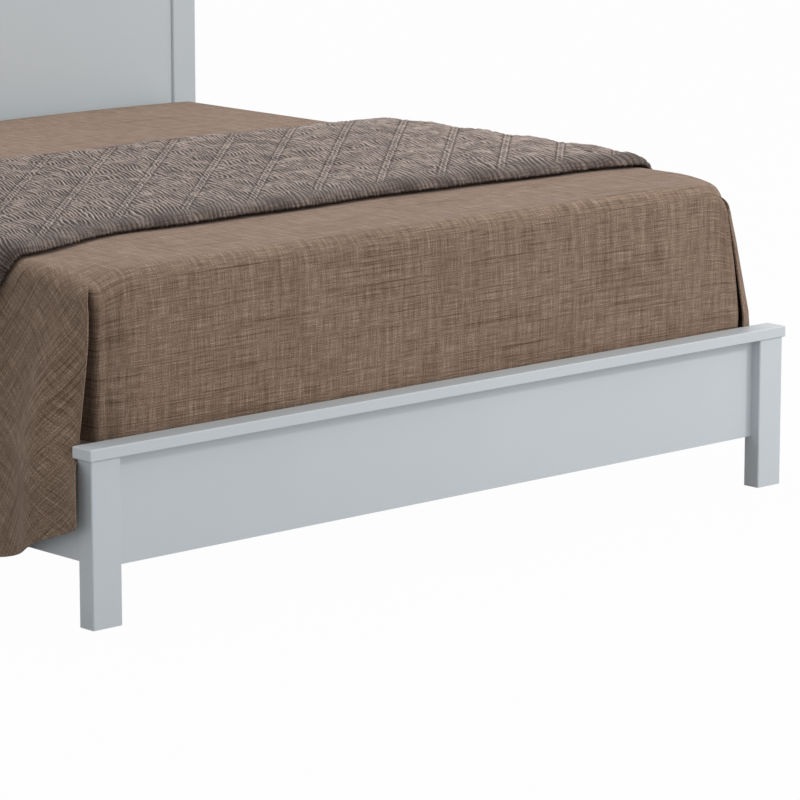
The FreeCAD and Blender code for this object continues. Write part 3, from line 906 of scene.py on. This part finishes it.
def make_linen():
    """Slubbed linen, with a stitched hem on a piece that has one."""
    finish, tree, shader = start_finish("slubbed_linen")
    square = cloth_place(tree, "cloth")
    slanted = cloth_place(tree, "bias")
    weaves = [use_group(tree, slub_weave, {"Cloth": way, "Threads": linen_threads, "Slubs": linen_slubs})
              for way in (square, slanted)]
    on_bias = point_value(tree, "on_bias")

    def blend(name):
        """The square weave, or the slanted one where the cloth hangs on the bias."""
        sockets = {0: on_bias, 2: weaves[0][name], 3: weaves[1][name]}
        return add_node(tree, "ShaderNodeMix", sockets, data_type="FLOAT").outputs[0]

    to_hem = point_value(tree, "to_hem")
    along = add_node(tree, "ShaderNodeSeparateXYZ", {0: square}).outputs["Y"]
    row = calculate(tree, "COMPARE", to_hem, 1 - stitch_level, stitch_half)
    dash = calculate(tree, "PINGPONG", along, stitch_length)
    thread = calculate(tree, "MULTIPLY", row, calculate(tree, "GREATER_THAN", dash, stitch_half))
    turned_up = calculate(tree, "GREATER_THAN", to_hem, 1 - hem_depth)
    colour = tone_ramp(tree, blend("Tone"), (0.12, linear(84, 64, 50)), (0.5, linear(129, 107, 90)),
                       (0.90, linear(174, 152, 134)))
    stitched = calculate(tree, "MULTIPLY", thread, 0.4)
    colour = mix_colours(tree, stitched, colour, linear(158, 137, 120))
    set_sockets(tree, shader, {"Base Color": colour, "Roughness": 0.88, "Specular IOR Level": 0.2,
                               "Sheen Weight": 0.06, "Sheen Roughness": 0.5})
    height = calculate(tree, "MULTIPLY_ADD", turned_up, 0.8, blend("Height"))
    height = calculate(tree, "MULTIPLY_ADD", thread, -0.6, height)
    raise_bumps(tree, shader, height, distance=0.0008, strength=0.5)
    return finish


linen = make_linen()
for piece in (coverlet, drop_left, drop_right):
    piece.data.materials.append(linen)
print("finish:", linen.name)

# %% [markdown]
# ## The blanket
#
# A ruched blanket lies across the bed. Its cloth is gathered into fine ridges that run from foot to head,
# and pairs of stitched seams cross it on the slant. Its edges are rolled. The ridges could be a bump in the
# finish, but they are real geometry, because at this low angle each one hides the next and a painted ridge
# would look flat.

# %% Blanket sizes
blanket_front = -0.687
blanket_back = 0.235
hang_angle = math.radians(73.1)
bend_radius = 0.054
bend_length = bend_radius * hang_angle
hang_length = 0.262
blanket_half = flat_half + bend_length + hang_length
seam_turn = math.radians(44.5)
seam_gap = 0.1314
seam_shift = 0.0412
strip_half = 0.0095
ridge_pitch = 0.0108
ridge_lean = 0.46
left_sweep = 0.075


def blanket_base(u, y):
    """Place and outward direction of the blanket's sheet at a distance u across."""
    side = np.sign(u)
    far = np.abs(u)
    past = np.clip(far - flat_half, 0, bend_length)
    angle = past / bend_radius
    hang = np.clip(far - flat_half - bend_length, 0, None)
    x = np.minimum(far, flat_half) + bend_radius * np.sin(angle) + hang * math.cos(hang_angle)
    z = seam_height + bend_radius * np.cos(angle) - hang * math.sin(hang_angle)
    z = z + crown(x, y) * (past <= 0) + top_waves(x, y)
    wave = 0.006 * smooth_step(0.0, 0.2, hang) * (1 + soft_noise(y * 5.0, u * 1.5, 12.0))
    out = np.stack([side * np.sin(angle), 0 * y, np.cos(angle)], axis=-1)
    return np.stack([side * (x + wave), y, z], axis=-1), out


def front_edge(u):
    """Where the foot edge of the blanket lies, swept forward towards the sides."""
    left = left_sweep * (smooth_step(0.56, 0.96, -u) - smooth_step(0.97, 1.12, -u))
    right = 0.015 * smooth_step(0.70, 0.92, u) + 0.055 * smooth_step(0.97, 1.20, u)
    return blanket_front - left - right + 0.005 * np.sin(u * 7.0 + 0.6) + 0.003 * np.sin(u * 17.0)


def gathers(across, along):
    """Height of the fine ridges, from 0 in a valley to 1 on a ridge."""
    slow = 0.011 * soft_noise(across * 9.0, along * 8.0, 2.0)
    quick = 0.0042 * soft_noise(across * 34.0, along * 26.0, 6.0)
    turned = across + 0.16 * along - slow + 1.6 * quick
    one = 0.5 + 0.5 * np.sin(2 * math.pi * (across + slow + quick) / ridge_pitch)
    other = 0.5 + 0.5 * np.sin(2 * math.pi * turned / (1.2 * ridge_pitch))
    choice = smooth_step(-0.12, 0.12, soft_noise(across * 17.0, along * 13.0, 8.0))
    strength = 0.85 + 0.6 * soft_noise(across * 45.0, along * 24.0, 14.0)
    return 0.5 + (one * choice + other * (1 - choice) - 0.5) * np.clip(strength, 0.35, 1.15)


print("blanket is", round(2 * blanket_half, 3), "m across")

# %% Lay out the blanket
front_run = np.array([0.0, 0.0008, 0.003, 0.0065, 0.011, 0.017, 0.024, 0.032, 0.040, 0.048])
across_columns = 1361
middle_rows = 100
under_rows = 12
columns = np.linspace(-blanket_half, blanket_half, across_columns)
edge_steps = blanket_half - front_run[:4]
columns = np.unique(np.concatenate([columns[3:-3], edge_steps, -edge_steps]))

lean_share = (ridge_lean * (1 - smooth_step(0.62, blanket_half, np.abs(columns))))[:, None]
half_way = (blanket_back - blanket_front) / 2
ridge_line = columns[:, None]
front = front_edge(ridge_line - lean_share * half_way)
long_way = blanket_back - front
near = np.broadcast_to(front_run[None, :], (len(columns), len(front_run)))
inner = np.linspace(0, 1, middle_rows + 2)[1:-1][None, :] * (long_way - 2 * front_run[-1]) + front_run[-1]
far = long_way - front_run[::-1][None, :]
top_run = np.concatenate([near, inner, far], axis=1)
under_run = np.linspace(1, 0, under_rows + 2)[1:-1][None, :] * long_way
under_run = np.concatenate([under_run, 0 * long_way], axis=1)
run = np.concatenate([top_run, under_run], axis=1)
upper = np.concatenate([np.ones_like(top_run), np.zeros_like(under_run)], axis=1)
u = ridge_line + lean_share * (run - half_way)
y = front + run
edge = np.minimum(np.minimum(run, long_way - run), (blanket_half - np.abs(ridge_line)) + 0 * run)
print("blanket grid:", run.shape[0], "by", run.shape[1])

# %% Work out the blanket's thickness and ridges
def rounded(distance, radius):
    """Height share of a quarter-round edge at a distance from it."""
    share = np.clip(distance / radius, 0, 1)
    return np.sqrt(np.clip(1 - (1 - share) ** 2, 0, 1))


blanket_thick = 0.030
edge_thinning = 0.004
under_ease = 0.002
ridge_height = 0.0066
puff_height = 0.003
stitch_depth = 0.0015

thick = blanket_thick - edge_thinning * (1 - smooth_step(0.0, 0.14, edge))
widest = 0.2 * thick
rise = (thick - widest) * rounded(edge, 0.036)
sink = widest * rounded(edge, 0.008)
base, outward = blanket_base(u, y)
under = under_ease - (bend_radius - crest_radius)
height = under + widest + np.where(upper > 0.5, rise, -sink)
points = base + outward * height[..., None]

slant = (-u * math.sin(seam_turn) + y * math.cos(seam_turn) + seam_shift) / seam_gap
from_seam = np.abs(slant - np.rint(slant)) * seam_gap
in_strip = 1 - smooth_step(strip_half, strip_half + 0.008, from_seam)
stitch = stitch_depth * np.exp(-((from_seam - strip_half) / 0.004) ** 2)
puff = puff_height * smooth_step(strip_half, seam_gap / 2, from_seam)
rim = 1 - smooth_step(0.012, 0.075, edge)
ridge = gathers(ridge_line + 0 * run, y)
calm = 1 - 0.2 * in_strip * (1 - rim)
relief = ridge_height * (ridge - 0.5) * calm * (1 - 0.5 * rim) + (puff - stitch) * (1 - rim)
relief = relief * upper * rounded(blanket_half - np.abs(ridge_line), 0.006)
hanging = smooth_step(flat_half - 0.05, flat_half + 0.12, np.abs(u))
# Ridges are painted lighter and valleys darker: painted highlight and painted shade, softer at the rim and
# on the hanging part.
shade = np.clip(0.5 + (ridge - 0.5) * calm * (1 - 0.8 * rim) * (1 - 0.5 * hanging), 0, 1)
print("ridges between", round(float(relief.min()), 4), "and", round(float(relief.max()), 4), "m")

# %% Cut the blanket and raise its ridges
blanket = cut_cloth("ruched_blanket", points, {"cloth": np.stack([u, y], axis=-1)},
                    {"relief": relief, "shade": shade * upper, "inside": 1 - rim})
tidy_mesh(blanket, 0.00005)
mesh = blanket.data
places = read_places(mesh).ravel()
normals = np.zeros(len(mesh.vertices) * 3, dtype=np.float32)
mesh.vertices.foreach_get("normal", normals)
heights = np.zeros(len(mesh.vertices), dtype=np.float32)
mesh.attributes["relief"].data.foreach_get("value", heights)
mesh.vertices.foreach_set("co", places + normals * np.repeat(heights, 3))
mesh.update()
work_on(blanket)
bpy.ops.object.shade_smooth()
print("blanket:", len(mesh.polygons), "faces")

# %% [markdown]
# ## The blanket's cloth
#
# The blanket's yarn is a grey taupe with a slight satin sheen. Its ridges are painted lighter, as a painted
# highlight, and its valleys darker, as painted shade. The stitched lines are a finer detail than the mesh
# holds, so they are drawn from the flat place of each point: painted shade along the stitched groove and a
# painted highlight on the bead beside it.

# %% Ruched satin
seam_wander = 0.006


def make_ruched_satin():
    """Satin yarn with painted highlights on its ridges and painted shade between them, with stitched seam
    lines.
    """
    finish, tree, shader = start_finish("ruched_satin")
    cloth = cloth_place(tree, "cloth")
    inside = point_value(tree, "inside")
    weave = use_group(tree, slub_weave, {"Cloth": cloth, "Threads": 900.0, "Slubs": 0.6})
    split = add_node(tree, "ShaderNodeSeparateXYZ", {0: cloth}).outputs
    wander = add_noise(tree, cloth, 55.0, dimensions="2D")
    middle = seam_shift - seam_wander / 2
    slant = calculate(tree, "MULTIPLY_ADD", split["X"], -math.sin(seam_turn), middle)
    slant = calculate(tree, "MULTIPLY_ADD", split["Y"], math.cos(seam_turn), slant)
    slant = calculate(tree, "MULTIPLY_ADD", wander, seam_wander, slant)
    from_seam = calculate(tree, "PINGPONG", slant, seam_gap / 2)

    def line_at(place, half_width):
        """1 on a line at a distance from the middle of a seam strip."""
        away = calculate(tree, "ABSOLUTE", calculate(tree, "SUBTRACT", from_seam, place))
        sockets = {"Value": away, "From Min": half_width, "From Max": half_width * 0.4}
        mask = add_node(tree, "ShaderNodeMapRange", sockets, interpolation_type="SMOOTHSTEP").outputs[0]
        return calculate(tree, "MULTIPLY", mask, inside)

    # A darker line along the stitched groove, as painted shade, and a lighter bead beside it, as a painted
    # highlight.
    stitch_groove = line_at(strip_half, 0.0032)
    bead_highlight = line_at(strip_half - 0.0042, 0.0026)
    patches = calculate(tree, "SUBTRACT", add_noise(tree, cloth, 13.0, dimensions="2D"), 0.5)
    tone = calculate(tree, "MULTIPLY_ADD", weave["Tone"], 0.4, -0.2)
    # Painted highlight on the ridges and painted shade in the valleys.
    tone = calculate(tree, "ADD", tone, point_value(tree, "shade"))
    for part, share in ((patches, 0.35), (stitch_groove, -0.17), (bead_highlight, 0.2)):
        tone = calculate(tree, "MULTIPLY_ADD", part, share, tone)
    colour = tone_ramp(tree, tone, (0.0, linear(46, 36, 31)), (0.45, linear(67, 53, 46)),
                       (1.0, linear(188, 170, 159)))
    set_sockets(tree, shader, {"Base Color": colour, "Roughness": 0.5, "Specular IOR Level": 0.2,
                               "Sheen Weight": 0.02, "Sheen Roughness": 0.35})
    height = calculate(tree, "MULTIPLY_ADD", stitch_groove, -0.8, weave["Height"])
    raise_bumps(tree, shader, height, distance=0.0006, strength=0.6)
    return finish


ruched_satin = make_ruched_satin()
blanket.data.materials.append(ruched_satin)
print("finish:", ruched_satin.name)

# %% [markdown]
# ## The mattress
#
# The mattress is nearly hidden: it shows at the head, past the coverlet's edge, and at the sides when a
# drop is gathered up. It is a foam block in a knitted cover. It starts as a bevelled block, a little small.
# The block is remeshed evenly and blown up by a short cloth simulation, which rounds its sides as filling
# does. A cap on the movement keeps it inside the coverlet.

# %% Shape the mattress
mattress_low, mattress_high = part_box("mattress")
mattress_top = 0.668
side_inset = 0.013
height_inset = 0.014
edge_round = 0.045
mesh_step = 0.021
size = mattress_high - mattress_low
middle = (mattress_high + mattress_low) / 2
bpy.ops.object.select_all(action="DESELECT")
bpy.ops.mesh.primitive_cube_add(size=1, location=(middle.x, middle.y, (mattress_low.z + mattress_top) / 2))
mattress = bpy.context.active_object
mattress.name = "mattress_pad"
mattress.scale = (size.x - 2 * side_inset, size.y - 2 * side_inset,
                  mattress_top - mattress_low.z - height_inset)
bpy.ops.object.transform_apply(location=True, rotation=False, scale=True)
bpy.ops.object.mode_set(mode="EDIT")
bpy.ops.mesh.select_all(action="SELECT")
bpy.ops.mesh.bevel(offset=edge_round, segments=5)
bpy.ops.object.mode_set(mode="OBJECT")
mattress.data.remesh_voxel_size = mesh_step
bpy.ops.object.voxel_remesh()
print("mattress block:", len(mattress.data.vertices), "points")


# %% Swell the mattress
def swell(piece, pressure, limit, frames):
    """Blow a closed piece up with the cloth solver, and cap how far each point moves."""
    before = read_places(piece.data)
    work_on(piece)
    cloth = piece.modifiers.new("swell", "CLOTH")
    cloth.settings.use_pressure = True
    cloth.settings.uniform_pressure_force = pressure
    cloth.settings.effector_weights.gravity = 0
    for step in range(1, frames + 1):
        bpy.context.scene.frame_set(step)
    bpy.ops.object.modifier_apply(modifier=cloth.name)
    bpy.context.scene.frame_set(1)
    moved = read_places(piece.data) - before
    length = np.linalg.norm(moved, axis=1, keepdims=True)
    after = before + moved * np.minimum(1.0, limit / np.maximum(length, 1e-6))
    piece.data.vertices.foreach_set("co", after.ravel())
    piece.data.update()
    return float(length.max())


swell_pressure = 4.0
swell_limit = 0.012
swell_frames = 20
furthest = swell(mattress, swell_pressure, swell_limit, swell_frames)
print("mattress swells by up to", round(furthest, 4), "before the cap")

# %% Settle the mattress
pad_tuck = 2.6
places = read_places(mattress.data)
above = smooth_step(0.40, mattress_top, places[:, 2])
places[:, 2] = np.maximum(places[:, 2], mattress_low.z)
sunk = np.where(places[:, 0] < 0, 0.022, 0.034) * corner_shares(places[:, 0], places[:, 1], 0.12, 0.18)
places[:, 2] -= sunk * above
pulled = np.where(places[:, 0] > 0, 0.045, 0.0) * corner_shares(places[:, 0], places[:, 1], 0.10, 0.12)
places[:, 0] -= pulled * above
tuck = pad_tuck * tuck_corner(places[:, 0]) * (1 - smooth_step(-0.99, -0.80, places[:, 1]))
places[:, :2] += np.stack([tuck_slant * tuck, tuck], axis=-1)
mattress.data.vertices.foreach_set("co", places.ravel())
work_on(mattress)
finer = mattress.modifiers.new("finer", "SUBSURF")
finer.levels = 1
bpy.ops.object.modifier_apply(modifier=finer.name)
bpy.ops.object.shade_smooth()
print("mattress:", [round(part, 3) for part in mattress.dimensions])


# %% Dress the mattress
cord_inset = 0.04
cord_half = 0.004


def make_ticking():
    """A knitted cover with a cord near its top and bottom edges."""
    finish, tree, shader = start_finish("knit_ticking")
    place = object_place(tree)
    knit = add_node(tree, "ShaderNodeTexVoronoi", {"Vector": place, "Scale": 260.0}).outputs["Distance"]
    clouds = add_noise(tree, place, 6.0, 3.0)
    level = add_node(tree, "ShaderNodeSeparateXYZ", {0: place}).outputs["Z"]
    low_cord = calculate(tree, "COMPARE", level, mattress_low.z + cord_inset, cord_half)
    high_cord = calculate(tree, "COMPARE", level, mattress_top - cord_inset, cord_half)
    cord = calculate(tree, "MAXIMUM", low_cord, high_cord)
    colour = mix_colours(tree, knit, linear(236, 233, 226), linear(214, 210, 202))
    aged = calculate(tree, "MULTIPLY", clouds, 0.2)
    colour = mix_colours(tree, aged, colour, linear(226, 219, 206))
    colour = mix_colours(tree, cord, colour, linear(168, 164, 158))
    set_sockets(tree, shader, {"Base Color": colour, "Roughness": 0.85})
    height = calculate(tree, "MULTIPLY_ADD", cord, 2.0, knit)
    raise_bumps(tree, shader, height, distance=0.0008, strength=0.5)
    return finish


ticking = make_ticking()
mattress.data.materials.append(ticking)
print("finish:", ticking.name)

# %% [markdown]
# ## Attach each piece to the frame
#
# Each new piece rides on the bed's frame and stands for the plain solid in its place.

for piece, node in ((mattress, "mattress"), (coverlet, "coverlet"), (drop_left, "coverlet_drop_left"),
                    (drop_right, "coverlet_drop_right"), (blanket, "blanket")):
    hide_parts(node)
    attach(piece, "bed_frame")

for drop, side, sign in ((drop_left, "left", -1), (drop_right, "right", 1)):
    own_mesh(drop)
